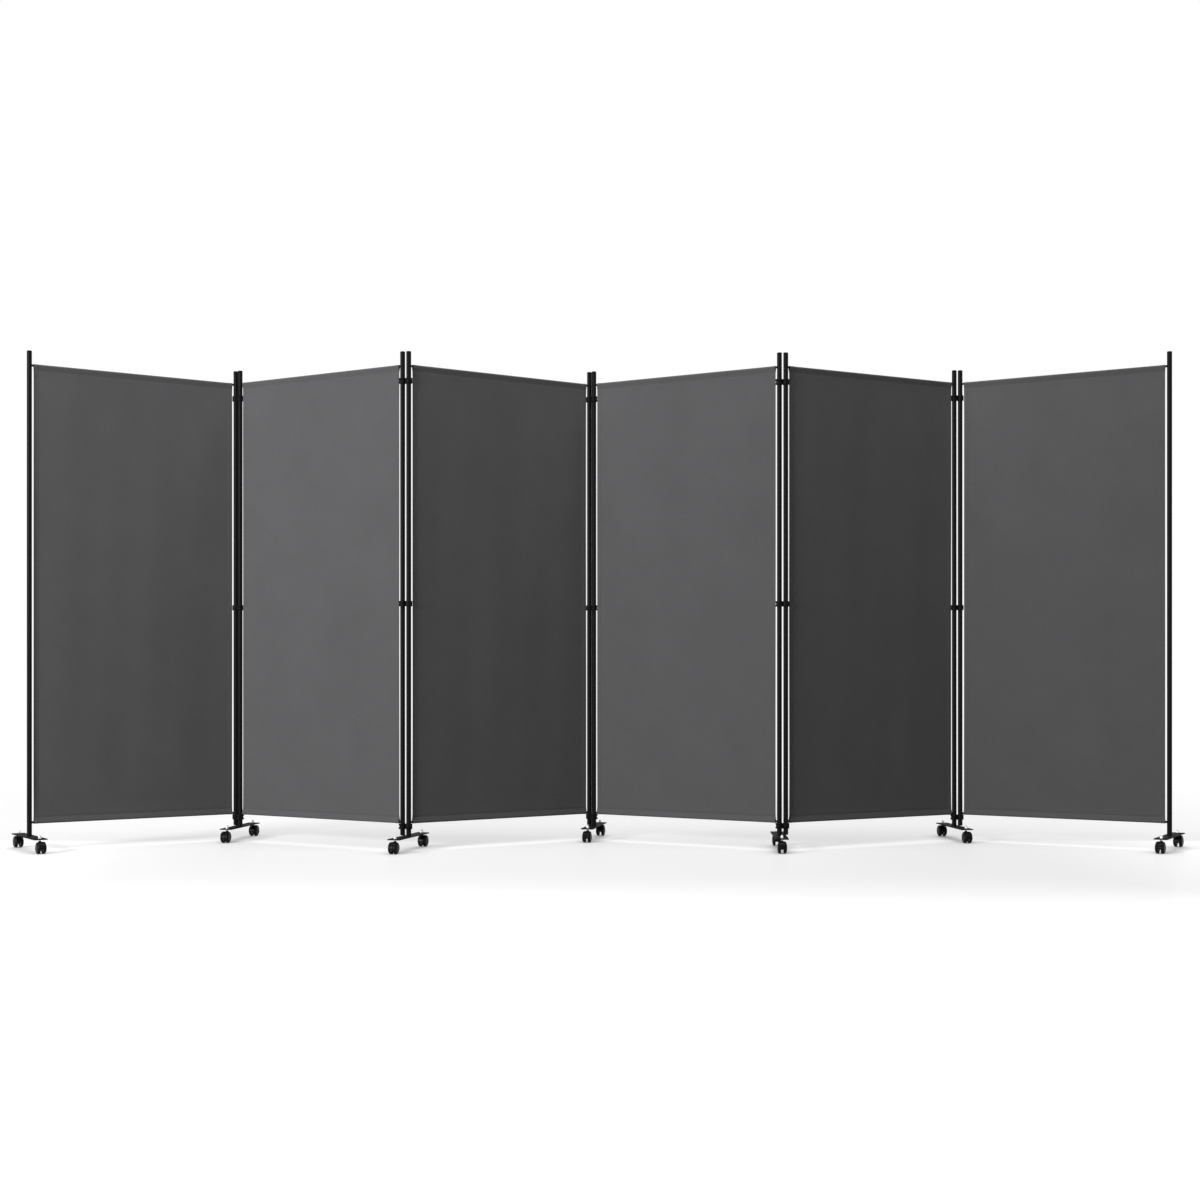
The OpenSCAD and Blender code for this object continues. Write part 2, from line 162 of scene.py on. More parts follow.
class FootSettings(bpy.types.PropertyGroup):
    """The foot plates and the fasteners on them."""

    corner: length("Corner", "Radius of a foot plate's corners", 0.006)
    length: length("Length", "Length of a foot plate", 0.27)
    width: length("Width", "Width of a foot plate", 0.046)
    bevel: length("Edge", "Width of a foot plate's broken edge", 0.0004)
    thread: length("Thread", "Diameter of the stems and screws", 0.006)
    hexagon: length("Hexagon", "Width across the flats of nuts and stems", 0.01)
    nut: length("Nut", "Height of the hexagonal part of a dome nut", 0.005)
    dome: length("Dome", "Height of a nut's dome", 0.007)
    screw_head: length("Screw head", "Diameter of the head of a post's screw", 0.011)
    screw_head_height: length("Screw head height", "Height of that head", 0.003)


class CasterSettings(bpy.types.PropertyGroup):
    """The twin-wheel casters."""

    wheel: length("Wheel", "Diameter of a wheel", 0.038)
    inner: length("Inner face", "From the middle to a wheel's inner face", 0.005)
    tread: length("Tread", "Width of a wheel's tread", 0.005)
    shoulder: length("Shoulder", "Width of the rounded shoulder of a wheel", 0.0062)
    shoulder_height: length("Shoulder height", "Height of that shoulder", 0.01)
    hood: length("Hood", "Thickness of the hood", 0.002)
    gap: length("Gap", "Gap between the hood and the wheels", 0.001)
    hood_width: length("Hood width", "Width of the hood", 0.0266)
    web: length("Web", "Thickness of the web between the wheels", 0.009)
    web_low: length("Web edge", "Height of the web's lower edge above the floor", 0.0155)
    axle: length("Axle", "Diameter of the axle", 0.004)


class FinishSettings(bpy.types.PropertyGroup):
    """Colours and gloss of the metal and plastic pieces."""

    coat: colour("Powder coat", "Colour of posts, rods and foot plates", (0.0065, 0.0065, 0.0063))
    coat_roughness: share("Coat roughness", "Roughness of the posts' powder coat", 0.42)
    plate_roughness: share("Plate roughness", "Roughness of the foot plates' powder coat", 0.66)
    plate_gloss: share("Plate gloss", "Gloss of the foot plates' powder coat", 0.035)
    plastic: colour("Plastic", "Colour of caps and clips", (0.0042, 0.0042, 0.0045))
    gloss: share("Gloss", "Gloss of posts, rods, caps and clips", 0.06)
    caster: colour("Caster", "Colour of the casters' plastic", (0.0045, 0.0045, 0.0048))
    caster_gloss: share("Caster gloss", "Gloss of the casters' plastic", 0.09)
    zinc: colour("Zinc", "Colour of nuts, stems and screws", (0.8, 0.8, 0.79))


class StageSettings(bpy.types.PropertyGroup):
    """Floor, lamps and camera."""

    floor: colour("Floor", "Colour of the floor where the lamps light it", (0.65, 0.65, 0.65))
    bounce: share("Floor bounce", "How much light the floor sends back to the screen", 0.15)
    # The floor's own white with its painted shade: greyer near the screen, growing whiter away
    # from it
    glow: share("Floor glow", "How white the floor under the screen is without lamps", 0.48)
    glow_middle: length("Glow middle", "Line from which the floor grows whiter", 0.125, low=-5.0)
    glow_start: length("Glow start", "Distance from that line at which it starts to", 0.925)
    glow_width: length("Glow width", "Distance over which it grows fully white", 2.0)
    glow_side: length("Glow side", "Half the length of that line along the screen", 0.325)
    # Reach of the painted contact shade on the floor's own white under pieces near it
    near: length("Contact", "How near a piece must be to shade the floor's own white", 0.09)
    shine: share("Floor shine", "How much the floor mirrors the screen", 0.04)
    ambient: share("Ambient", "Strength of the light from all round", 0.18)
    key: power("Key", "Power of the lamp at the left", 325.0)
    top: power("Top", "Power of the lamp above the front", 60.0)
    back: power("Back", "Power of the lamp behind the screen", 150.0)
    eye_height: length("Eye height", "Height of the camera above the floor", 0.619)
    distance: length("Distance", "From the camera to the middle of the screen", 5.9624, high=20.0)
    offset: length("Offset", "How far the camera is to the right of the middle", 0.0029, low=-5.0)
    lens: FloatProperty(name="Lens", description="Focal length", default=50.0, unit="CAMERA")
    painted_shade_fade: FloatProperty(
        name="Rise", description="How far the picture is shifted up, in widths", default=0.0594
    )


# Places, from the hinges of the packed model


def hinge_between(body, other):
    """A point on the axis of the hinge that joins two bodies."""
    return Vector(next(
        j["pos_m"] for j in frame["joints"] if {j["parent"], j["child"]} == {body, other}
    ))


def hinge(name):
    """A point on the axis of a named hinge."""
    return Vector(next(j["pos_m"] for j in frame["joints"] if j["name"] == name))


def foot_points(panel):
    """Points on the axes of the feet that a panel's posts stand on."""
    held = {j["child"] for j in frame["joints"] if j["parent"] == f"panel_{panel}"}
    return [hinge(f"{foot}_turn") for foot in FEET if foot in held]


def post_points(panel):
    """Points on the axes of a panel's left and right posts."""
    body, feet = f"panel_{panel}", foot_points(panel)
    left = feet[0] if panel == PANELS[0] else hinge_between(f"clips_{panel - 1}", body)
    right = feet[-1] if panel == PANELS[-1] else hinge_between(f"clips_{panel}", body)
    return left, right


def standing(point, towards):
    """A place on the floor under a point, with X towards another and Z up, and how far that is."""
    across = Vector((towards.x - point.x, towards.y - point.y, 0))
    x, up = across.normalized(), Vector((0, 0, 1))
    place = Matrix((x, up.cross(x), up)).transposed().to_4x4()
    place.translation = (point.x, point.y, 0)
    return place, across.length


def rod_heights(panel, scene):
    """How high the middles of a panel's bottom and top rods are."""
    fabric = scene.divider_fabric
    sleeve = scene.divider_posts.rod_diameter / 2 + fabric.sleeve_gap + fabric.thickness
    low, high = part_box(f"panel_{panel}_fabric")
    return low.z + sleeve, high.z - sleeve


def turned(z_to, at):
    """A place at a point, whose Z axis points along z_to."""
    place = Vector((0, 0, 1)).rotation_difference(Vector(z_to)).to_matrix().to_4x4()
    place.translation = at
    return place


# Outlines and profiles


def smooth(t):
    """A rise from 0 to 1 that starts and ends gently."""
    return t * t * (3 - 2 * t)


def polar(radius, angle):
    """The point at a radius and an angle."""
    return radius * cos(angle), radius * sin(angle)


def quarter(count):
    """The angles that part a quarter turn into steps, with both ends."""
    return [radians(90 * i / count) for i in range(count + 1)]


def circle(radius, steps=60):
    """Outline of a circle."""
    return [polar(radius, 2 * pi * i / steps) for i in range(steps)]


def hexagon(across, cut=0.0, steps=60):
    """Outline of a hexagon whose corners are turned off by a cut."""
    limit = across / 2 / cos(pi / 6) - cut
    turns = [2 * pi * i / steps for i in range(steps)]
    flats = [(t + pi / 6) % (pi / 3) - pi / 6 for t in turns]
    return [polar(min(across / 2 / cos(flat), limit), t) for t, flat in zip(turns, flats)]


def pin(radius, low, high, edge):
    """Profile of a round pin with broken edges."""
    return [(0.0, low), (radius - edge, low), (radius, low + edge),
            (radius, high - edge), (radius - edge, high), (0.0, high)]


# Meshes


class Shape:
    """A mesh in the making: rings of points, the skins between them and the lids on them."""

    def __init__(self, place):
        self.mesh = bmesh.new()
        self.cloth = self.mesh.verts.layers.float_vector.new("cloth")
        self.place = place

    def ring(self, points, place=Matrix()):
        """A row of points."""
        return [self.mesh.verts.new(self.place @ place @ Vector(p)) for p in points]

    def level(self, height, outline, place=Matrix()):
        """A row of points at one height."""
        return self.ring([(x, y, height) for x, y in outline], place)

    def skin(self, a, b, closed=True):
        """Faces between two rows of points. A row of one point is a pole."""
        count = max(len(a), len(b))
        for i in range(count if closed else count - 1):
            j = (i + 1) % count
            corners = [a[i % len(a)], a[j % len(a)], b[j % len(b)], b[i % len(b)]]
            kept = [v for n, v in enumerate(corners) if v not in corners[:n]]
            if len(kept) > 2:
                self.mesh.faces.new(kept)

    def skins(self, rings, closed=True, looped=False):
        """Faces between each row of points and the next."""
        for a, b in zip(rings, rings[1:] + (rings[:1] if looped else [])):
            self.skin(a, b, closed)

    def lathe(self, profile, place=Matrix(), steps=48, looped=False):
        """A solid turned from (radius, height) points that end on its axis, or are a loop."""
        self.skins([
            self.level(height, circle(radius, steps) if radius else [(0, 0)], place)
            for radius, height in profile
        ], looped=looped)

    def stack(self, levels, place=Matrix()):
        """A solid of (height, outline) levels whose outlines have as many points each."""
        rings = [self.level(height, outline, place) for height, outline in levels]
        lids = [self.level(levels[end][0], [(0, 0)], place) for end in (0, -1)]
        self.skins(lids[:1] + rings + lids[1:])

    def piece(self, name, body, slot, finish, sharp=32.0):
        """Makes the shape a piece of the screen, which moves with a body."""
        bmesh.ops.remove_doubles(self.mesh, verts=self.mesh.verts, dist=1e-7)
        bmesh.ops.recalc_face_normals(self.mesh, faces=self.mesh.faces)
        data = bpy.data.meshes.new(name)
        self.mesh.to_mesh(data)
        self.mesh.free()
        data.shade_smooth()
        data.set_sharp_from_angle(angle=radians(sharp))
        data.materials.append(finish)
        made = bpy.data.objects.new(name, data)
        bpy.context.scene.collection.objects.link(made)
        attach(made, body)
        return made


def each_foot():
    """Each foot, a shape in its place with X towards its back stem, and how far that stem is."""
    for foot in FEET:
        place, stem = standing(hinge(f"{foot}_turn"), hinge(f"{foot}_back_swivel"))
        yield foot, Shape(place), stem


def each_caster():
    """Each caster, a shape in its place with X towards its axle, and how far that axle is."""
    for caster in (f"{foot}_{end}" for foot in FEET for end in ("front", "back")):
        place, trail = standing(hinge(f"{caster}_swivel"), hinge(f"{caster}_roll"))
        yield caster, Shape(place), trail


# Finishes


def maths(operation, reflected=False):
    """A method that adds the Math node of an operation on a wire, or on it and another value."""

    def method(self, other=None):
        node = self.socket.id_data.nodes.new("ShaderNodeMath")
        node.operation = operation
        for slot, value in zip(node.inputs, (other, self) if reflected else (self, other)):
            if isinstance(value, Wire):
                node.id_data.links.new(value.socket, slot)
            elif value is not None:
                slot.default_value = value
        return Wire(node.outputs[0])

    return method


class Wire:
    """An output socket of a material, with the arithmetic of numbers."""

    def __init__(self, socket):
        self.socket = socket

    __add__ = maths("ADD")
    __radd__ = maths("ADD", reflected=True)
    __sub__ = maths("SUBTRACT")
    __rsub__ = maths("SUBTRACT", reflected=True)
    __mul__ = maths("MULTIPLY")
    __rmul__ = maths("MULTIPLY", reflected=True)
    __truediv__ = maths("DIVIDE")
    __mod__ = maths("FLOORED_MODULO")
    __lt__ = maths("LESS_THAN")
    __gt__ = maths("GREATER_THAN")
    __abs__ = maths("ABSOLUTE")
    floor = maths("FLOOR")
    sine = maths("SINE")
    larger = maths("MAXIMUM")


class Finish:
    """A material or background in the making, with its node tree."""

    def __init__(self, name, kind="materials"):
        self.made = getattr(bpy.data, kind).new(name)
        self.made.use_nodes = True
        self.tree = self.made.node_tree
        self.tree.nodes.clear()

    def node(self, kind, settings, values, output=0):
        """Adds a node: its settings first, then the values or links of its sockets."""
        made = self.tree.nodes.new(kind)
        for name, value in settings.items():
            setattr(made, name, value)
        for name, value in values.items():
            if isinstance(value, Wire):
                self.tree.links.new(value.socket, made.inputs[name])
            else:
                made.inputs[name].default_value = value
        return None if output is None else Wire(made.outputs[output])

    def place(self):
        """The point that is shaded, in metres."""
        return self.node("ShaderNodeTexCoord", {}, {}, "Object")

    def parts(self, vector):
        """The three numbers of a vector."""
        x = self.node("ShaderNodeSeparateXYZ", {}, {"Vector": vector})
        return [Wire(socket) for socket in x.socket.node.outputs]

    def noise(self, vector, scale, detail):
        """Noise whose grain is 1/scale metres."""
        return self.node(
            "ShaderNodeTexNoise", {},
            {"Vector": vector, "Scale": scale, "Detail": detail, "Roughness": 0.55},
        )

    def mix(self, factor, a, b, blend="MIX"):
        """A mix of two colours."""
        return self.node(
            "ShaderNodeMix", {"data_type": "RGBA", "blend_type": blend}, {0: factor, 6: a, 7: b}, 2
        )

    def bump(self, height, distance, strength=1.0):
        """The normal of a relief of that height in metres."""
        return self.node(
            "ShaderNodeBump", {}, {"Height": height, "Distance": distance, "Strength": strength}
        )

    def rays(self, *kinds):
        """1 where the surface is seen by one of those kinds of ray."""
        seen = self.node("ShaderNodeLightPath", {}, {}, f"Is {kinds[0]} Ray")
        return seen.larger(self.rays(*kinds[1:])) if len(kinds) > 1 else seen

    def surface(self, values):
        """Ends the material in a principled shader."""
        return self.finished(self.node("ShaderNodeBsdfPrincipled", {}, values))

    def finished(self, shader, output="ShaderNodeOutputMaterial"):
        """Links a shader to the output, and gives what was made."""
        self.node(output, {}, {"Surface": shader}, None)
        return self.made


def rgba(values, scale=1.0, lift=0.0):
    """A colour with its alpha, perhaps scaled or lifted."""
    return (*(scale * value + lift for value in values), 1.0)


BLACK, WHITE = rgba([0.0] * 3), rgba([1.0] * 3)

# Roughness and depth of the grain of each plastic
PLASTICS = {
    "cap_plastic": (0.5, 0.00004), "clip_plastic": (0.46, 0.00004),
    "hood_plastic": (0.34, 0.00003), "wheel_plastic": (0.3, 0.00002),
}


def powder_coat(name, tint, roughness, gloss):
    """Black powder coat on steel: a fine orange peel, with a few duller specks."""
    f = Finish(name)
    at = f.place()
    peel, cloud = f.noise(at, 900.0, 2.0), f.noise(at, 14.0, 4.0)
    spread = 0.12
    return f.surface({
        "Base Color": f.mix(cloud, rgba(tint), rgba(tint, 1.5, 0.001)),
        "Roughness": roughness - spread / 2 + spread * cloud + (peel - 0.5) * spread,
        "Specular IOR Level": gloss,
        "Normal": f.bump(peel, 0.00006),
    })


def moulded_plastic(name, tint, gloss):
    """Black moulded plastic with a spark-eroded grain."""
    roughness, grain = PLASTICS[name]
    f = Finish(name)
    at = f.place()
    pits, cloud = f.noise(at, 1600.0, 2.0), f.noise(at, 40.0, 3.0)
    spread = 0.1
    return f.surface({
        "Base Color": f.mix(cloud, rgba(tint), rgba(tint, 1.6, 0.0005)),
        "Roughness": roughness - spread / 2 + spread * cloud + (pits - 0.5) * spread,
        "Specular IOR Level": gloss,
        "Normal": f.bump(pits, grain),
    })


def bright_zinc(tint):
    """Bright zinc plating, with a faint haze and turning marks."""
    f = Finish("bright_zinc")
    at = f.place()
    haze, marks = f.noise(at, 260.0, 4.0), f.noise(at, 2600.0, 2.0)
    return f.surface({
        "Base Color": f.mix(haze, rgba(tint, 0.8), rgba(tint)),
        "Metallic": 1.0,
        "Roughness": 0.2 + 0.18 * haze,
        "Normal": f.bump(marks, 0.00002),
    })


def woven_fabric(s, seams, width):
    """Grey plain weave with uneven threads, and stitching along the seams and side hems."""
    f = Finish("woven_fabric")
    at = f.node("ShaderNodeAttribute", {"attribute_name": "cloth"}, {}, "Vector")
    across, along, _ = f.parts(at)

    # Plain weave: the crossing threads lie on top by turns
    a, b = across / s.thread, along / s.thread
    over = (a.floor() + b.floor()) % 2.0
    threads = over * abs((a * pi).sine()) + (1.0 - over) * abs((b * pi).sine())

    # Each thread has its own shade, and fades a little along its run
    def shades(u, v):
        row = f.node("ShaderNodeCombineXYZ", {}, {"X": u, "Y": v, "Z": 0.0})
        return f.noise(row, 1.0, 2.0)

    fine, slow, aside = 900.0, 18.0, 71.0
    warp = shades(across * fine, along * slow)
    weft = shades(across * slow + aside, along * fine)
    cloud = f.noise(at, 5.0, 3.0)
    # The 0.22 * threads term is painted shade: darker where the threads dip under each other,
    # lighter on their crowns
    shade = 0.70 + 0.22 * threads + 0.24 * (warp + weft - 1.0) + 0.16 * (cloud - 0.5)
    grey = f.node("ShaderNodeCombineColor", {}, {0: shade, 1: shade, 2: shade})
    cloth = f.mix(1.0, rgba(s.tint), grey, "MULTIPLY")

    # Stitches: dashes of thread that sink into the fabric, along the hems and across the seams
    half_wide, dash = 0.00045, 0.72 * s.stitch
    left, right = (abs(across - u) < half_wide for u in (s.hem_stitch, width - s.hem_stitch))
    stitches = (left + right) * ((along % s.stitch) < dash)
    dash_across = (across % s.stitch) < dash
    for line in seams:
        stitches = stitches.larger((abs(along - line) < half_wide) * dash_across)
    return f.surface({
        "Base Color": f.mix(stitches, cloth, rgba(s.tint, 0.75)),
        "Roughness": 0.86 + 0.1 * (1.0 - threads),
        "Specular IOR Level": 0.2,
        "Sheen Weight": 0.12,
        "Sheen Roughness": 0.5,
        "Normal": f.bump(threads * 0.35 + stitches, 0.0003, 0.8),
    })


# Panels


class DIVIDER_OT_posts(bpy.types.Operator):
    """Makes the posts of each panel, with their caps, lower ends and rods"""

    bl_idname = "divider.posts"
    bl_label = "Posts and Rods"

    def execute(self, context):
        scene = context.scene
        s, finish = scene.divider_posts, scene.divider_finish
        coat = powder_coat("post_coat", finish.coat, finish.coat_roughness, finish.gloss)
        plastic = moulded_plastic("cap_plastic", finish.plastic, finish.gloss)
        outer, bore = s.diameter / 2, s.diameter / 2 - s.wall
        plug, hole, inset = bore - FIT, scene.divider_feet.thread / 2 + FIT, bore - s.rod_reach
        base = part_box("foot_1_plate")[1].z
        for panel in PANELS:
            body = f"panel_{panel}"
            points, feet = post_points(panel), foot_points(panel)
            place, spacing = standing(*points)
            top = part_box(f"{body}_frame")[1].z - s.cap_height
            posts, caps, rods = Shape(place), Shape(place), Shape(place)
            for x, point in zip((0.0, spacing), points):
                footed = any((foot.xy - point.xy).length < outer for foot in feet)
                end = base + (REST if footed else CLEAR)
                low = end if footed else end + s.glide + FIT
                posts.lathe(self.tube(bore, outer, low, top - FIT),
                            Matrix.Translation((x, 0, 0)), looped=True)
                caps.lathe(self.cap(plug, outer, s), Matrix.Translation((x, 0, top)))
                insert = [(hole, 0.0), (plug, 0.0), (plug, s.plug), (hole, s.plug)]
                caps.lathe(insert if footed else self.lower_cap(plug, outer, s),
                           Matrix.Translation((x, 0, end)), looped=footed)
            for z in rod_heights(panel, scene):
                rods.lathe(pin(s.rod_diameter / 2, inset, spacing - inset, 0.0004),
                           turned((1, 0, 0), (0, 0, z)), steps=32)
            made = posts.piece(f"{body}_posts", body, "posts", coat)
            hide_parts(f"{body}_frame")
            caps.piece(f"{body}_caps", body, "posts", plastic)
            rods.piece(f"{body}_rods", body, "posts", coat)
        return {"FINISHED"}

    def tube(self, bore, outer, low, high):
        """Profile of a post's tube, with both ends' edges broken inside and out."""
        edge = 0.0003
        return [
            (outer - edge, low), (outer, low + edge), (outer, high - edge), (outer - edge, high),
            (bore + edge, high), (bore, high - edge), (bore, low + edge), (bore + edge, low),
        ]

    def cap(self, plug, outer, s):
        """Profile of a cap: its plug in the tube, then its rounded head."""
        taper, rim, edge = 0.001, 0.0002, s.cap_edge
        return [
            (0.0, -s.plug), (plug - taper, -s.plug), (plug, taper - s.plug), (plug, 0.0),
            (outer - rim, 0.0), (outer, rim),
            *((outer - edge * (1 - cos(t)), s.cap_height - edge * (1 - sin(t)))
              for t in quarter(6)),
            (0.0, s.cap_height),
        ]

    def lower_cap(self, plug, outer, s):
        """Profile of the cap under a post that has no foot."""
        edge, top = 0.001, s.glide + s.plug
        return [
            (0.0, 0.0),
            *((outer - edge * (1 - sin(t)), edge * (1 - cos(t))) for t in quarter(4)),
            (outer, s.glide), (plug, s.glide), (plug, top), (0.0, top),
        ]


def sleeve_side(rod, fabric):
    """Half of a sleeve's middle line, from under its rod to its seam, as (out, up, angle) points.
    Out is away from the sheet, up is from the rod to the seam, the angle is the normal's."""
    wrap = rod / 2 + fabric.sleeve_gap + fabric.thickness / 2
    meet = Vector((fabric.thickness / 2 + FOLD, fabric.seam))
    lean = atan2(meet.x, meet.y) + acos(wrap / meet.length)
    bends, straights = 10, 4
    points = []
    for i in range(bends + 1):
        t = pi - (pi - lean) * i / bends
        points.append((wrap * sin(t), wrap * cos(t), t))
    start = Vector(points[-1][:2])
    for i in range(1, straights + 1):
        points.append((*start.lerp(meet, i / straights), lean))
    points[-1] = (*meet, (lean + pi / 2) / 2)
    return points


def fabric_line(bottom, top, rod, fabric):
    """The fabric's middle line across the panel, as (y, z, normal y, normal z) points.
    It starts at the folded end behind the bottom rod and ends at the one behind the top rod."""
    side = sleeve_side(rod, fabric)
    layer = fabric.thickness / 2 + FOLD
    end = bottom + fabric.seam + fabric.allowance
    past_seam, past_end, flat, count = 0.0006, 0.0008, 0.007, 72
    line = [(layer, end, 1.0, 0.0), (layer, bottom + fabric.seam + past_seam, 1.0, 0.0)]
    line += [(out, bottom + up, sin(t), cos(t)) for out, up, t in reversed(side)]
    line += [(-out, bottom + up, -sin(t), cos(t)) for out, up, t in side[1:]]
    line += [(-layer, bottom + fabric.seam + past_seam, -1.0, 0.0),
             (-layer, end + past_end, -1.0, 0.0)]
    mirrored = [(y, bottom + top - z, ny, -nz) for y, z, ny, nz in reversed(line)]
    low, high = end + flat, bottom + top - end - flat
    middle = [(0.0, low + (high - low) * i / count, -1.0, 0.0) for i in range(count + 1)]
    return line + middle + mirrored


def hem_columns(width, s):
    """Places across the fabric, each with how many layers thick it is there."""
    sewn = [(s.hem_stitch + u, 2.0) for u in (-0.0011, -0.0005, 0.0, 0.0005, 0.001)]
    edge = [
        (0.0, 1.55), (0.0004, 1.9), (0.001, 2.0), (0.006, 2.0), *sewn, (s.hem, 1.9),
        (s.hem + 0.0003, 1.1), (s.hem + 0.0008, 1.0), (s.hem + 0.008, 1.0),
    ]
    count = 30
    first, last = edge[-1][0], width - edge[-1][0]
    middle = [(first + (last - first) * i / count, 1.0) for i in range(1, count)]
    return edge + middle + [(width - u, layers) for u, layers in reversed(edge)]


def groove(u, width, distance, seams, s):
    """How deep the stitching pulls a face of the fabric in."""
    deep, wide = 0.00022, 0.0009
    rows = [u - s.hem_stitch, width - s.hem_stitch - u, *(distance - seam for seam in seams)]
    return deep * max(0.0, 1.0 - min(abs(row) for row in rows) / wide)


def drawn(across, z, bottom, top, s, panel):
    """How far the fabric stands out of its plane, at a share of its width and a height."""
    up = (z - bottom) / (top - bottom)
    calm = 0.12
    ease = smooth(min(1.0, max(0.0, min(z - bottom, top - z) - s.seam) / calm))
    # Each wave's height, its turns across and up the panel, and its shift from panel to panel
    waves = ((1.0, 2.3, 0.35, 0.17), (0.6, 4.7, -0.5, 0.29), (0.4, 0.9, 1.6, 0.11))
    return s.ripple * ease * sum(
        high * sin(2 * pi * (a * across + b * up + shift * panel))
        for high, a, b, shift in waves
    )


class DIVIDER_OT_fabric(bpy.types.Operator):
    """Makes the stretched fabric of each panel, with its sleeves, seams and hems"""

    bl_idname = "divider.fabric"
    bl_label = "Fabric"

    def execute(self, context):
        s, posts = context.scene.divider_fabric, context.scene.divider_posts
        start = posts.diameter / 2 + s.side_gap
        half = s.thickness / 2
        cloth = None
        for panel in PANELS:
            body = f"panel_{panel}"
            place, spacing = standing(*post_points(panel))
            width = spacing - 2 * start
            bottom, top = rod_heights(panel, context.scene)
            line = fabric_line(bottom, top, posts.rod_diameter, s)
            run = [0.0]
            for p, q in zip(line, line[1:]):
                run.append(run[-1] + hypot(q[0] - p[0], q[1] - p[1]))
            seams = [distance for distance, (_, z, _, _) in zip(run, line)
                     if min(abs(z - bottom - s.seam), abs(top - s.seam - z)) < 1e-6]
            cloth = cloth or woven_fabric(s, seams, width)
            columns = hem_columns(width, s)
            shape = Shape(place)
            face, back = [], []
            for (y, z, ny, nz), distance in zip(line, run):
                on_rod = 1.0 - min(z - bottom, top - z) / s.seam > 0.0
                outer, inner = [], []
                for u, layers in columns:
                    lift = drawn(u / width, z, bottom, top, s, panel)
                    dip = groove(u, width, distance, seams, s)
                    behind = half * (1.0 if on_rod else layers)
                    for row, offset in ((outer, half * layers - dip), (inner, dip - behind)):
                        row.append((start + u, y + ny * offset + lift, z + nz * offset))
                for rows, points in ((face, outer), (back, inner)):
                    rows.append(shape.ring(points))
                    for vert, (u, _) in zip(rows[-1], columns):
                        vert[shape.cloth] = (u, distance, 0.0)
            for rows in (face, back):
                shape.skins(rows, closed=False)
            for end in (0, -1):
                shape.skin(face[end], back[end], closed=False)
            for end in (0, -1):
                shape.skin([r[end] for r in face], [r[end] for r in back], closed=False)
            made = shape.piece(f"{body}_sheet", body, "fabric", cloth, sharp=50.0)
            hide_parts(f"{body}_fabric")
        return {"FINISHED"}


# Clips


MEETING = 8  # Steps of a ring's outline across the place where it meets the other ring


def half_outline(radius, half, waist, mirrored):
    """Outline of one ring of a clip: the points where it meets the other ring, then the rest.
    Half is the distance of the ring's middle from the place where the rings meet."""
    corner = atan2(waist, half)
    reach = hypot(half, waist)
    steps, blend = 56, radians(34)
    points = [(half, half * tan(corner * (2 * i / MEETING - 1))) for i in range(MEETING)]
    for i in range(steps):
        t = corner + (2 * pi - 2 * corner) * i / steps
        past = min(1.0, min(t - corner, 2 * pi - corner - t) / blend)
        points.append(polar(reach + (radius - reach) * smooth(past), t))
    side = -1 if mirrored else 1
    return [(side * x, y) for x, y in points]


class DIVIDER_OT_clips(bpy.types.Operator):
    """Makes the double-ring clips that join neighbouring posts"""

    bl_idname = "divider.clips"
    bl_label = "Clips"

    def execute(self, context):
        s, finish = context.scene.divider_clips, context.scene.divider_finish
        radius = context.scene.divider_posts.diameter / 2
        plastic = moulded_plastic("clip_plastic", finish.plastic, finish.gloss)
        for number in PANELS[:-1]:
            body = f"clips_{number}"
            place, spacing = standing(*(
                hinge_between(body, f"panel_{panel}") for panel in (number, number + 1)
            ))
            low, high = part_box(body)
            first, last = low.z + s.height / 2, high.z - s.height / 2
            shape = Shape(place)
            for z in (first, (first + last) / 2, last):
                for mirrored in (False, True):
                    banded = (number in BANDED_LEFT) != mirrored
                    self.ring(shape, z, spacing, radius, s, banded, mirrored)
            made = shape.piece(f"{body}_rings", body, "clips", plastic)
            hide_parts(body)
        return {"FINISHED"}

    def ring(self, shape, z, spacing, radius, s, banded, mirrored):
        """One ring of a clip, up to where it meets the other. The right one is mirrored."""
        top = s.height / 2
        band = top - s.band_height
        edge, step, inlet, lead = 0.0006, 0.0001, 0.0012, 0.0003
        # Height, how much the edges are rounded there, and whether it is in the recess
        upper = [
            (band - step, 0.0, True), (band, edge, False), (band + 0.3 * edge, 0.4 * edge, False),
            (band + edge, 0.0, False), (top - edge, 0.0, False),
            (top - 0.3 * edge, 0.4 * edge, False), (top, edge, False),
        ]
        levels = [(-height, inset, recess) for height, inset, recess in reversed(upper)] + upper
        half = spacing / 2
        middle = Matrix.Translation((spacing if mirrored else 0.0, 0, z))
        rings = []
        for height, inset, recess in levels:
            at_end = inset if abs(height) > band + edge else 0.0
            if banded:
                wall = s.recess_wall if recess else s.band_wall - inset
            else:
                wall = s.wall - at_end
            waist = s.waist / 2 - at_end - (inlet if recess else 0.0)
            outline = half_outline(radius + wall, half, waist, mirrored)
            rings.append(shape.level(height, outline, middle))
        # The skin leaves out the points where the two rings meet
        for a, b in zip(rings, rings[1:]):
            shape.skin(a[MEETING:] + a[:1], b[MEETING:] + b[:1], closed=False)
        ends = half_outline(1.0, half, s.waist / 2 - edge, mirrored)
        bores = [
            shape.level(height, [polar(bore, atan2(y, x)) for x, y in ends], middle)
            for height, bore in (
                (-top, radius + FIT + lead), (lead - top, radius + FIT),
                (top - lead, radius + FIT), (top, radius + FIT + lead),
            )
        ]
        shape.skins([rings[0]] + bores + [rings[-1]])


# Feet


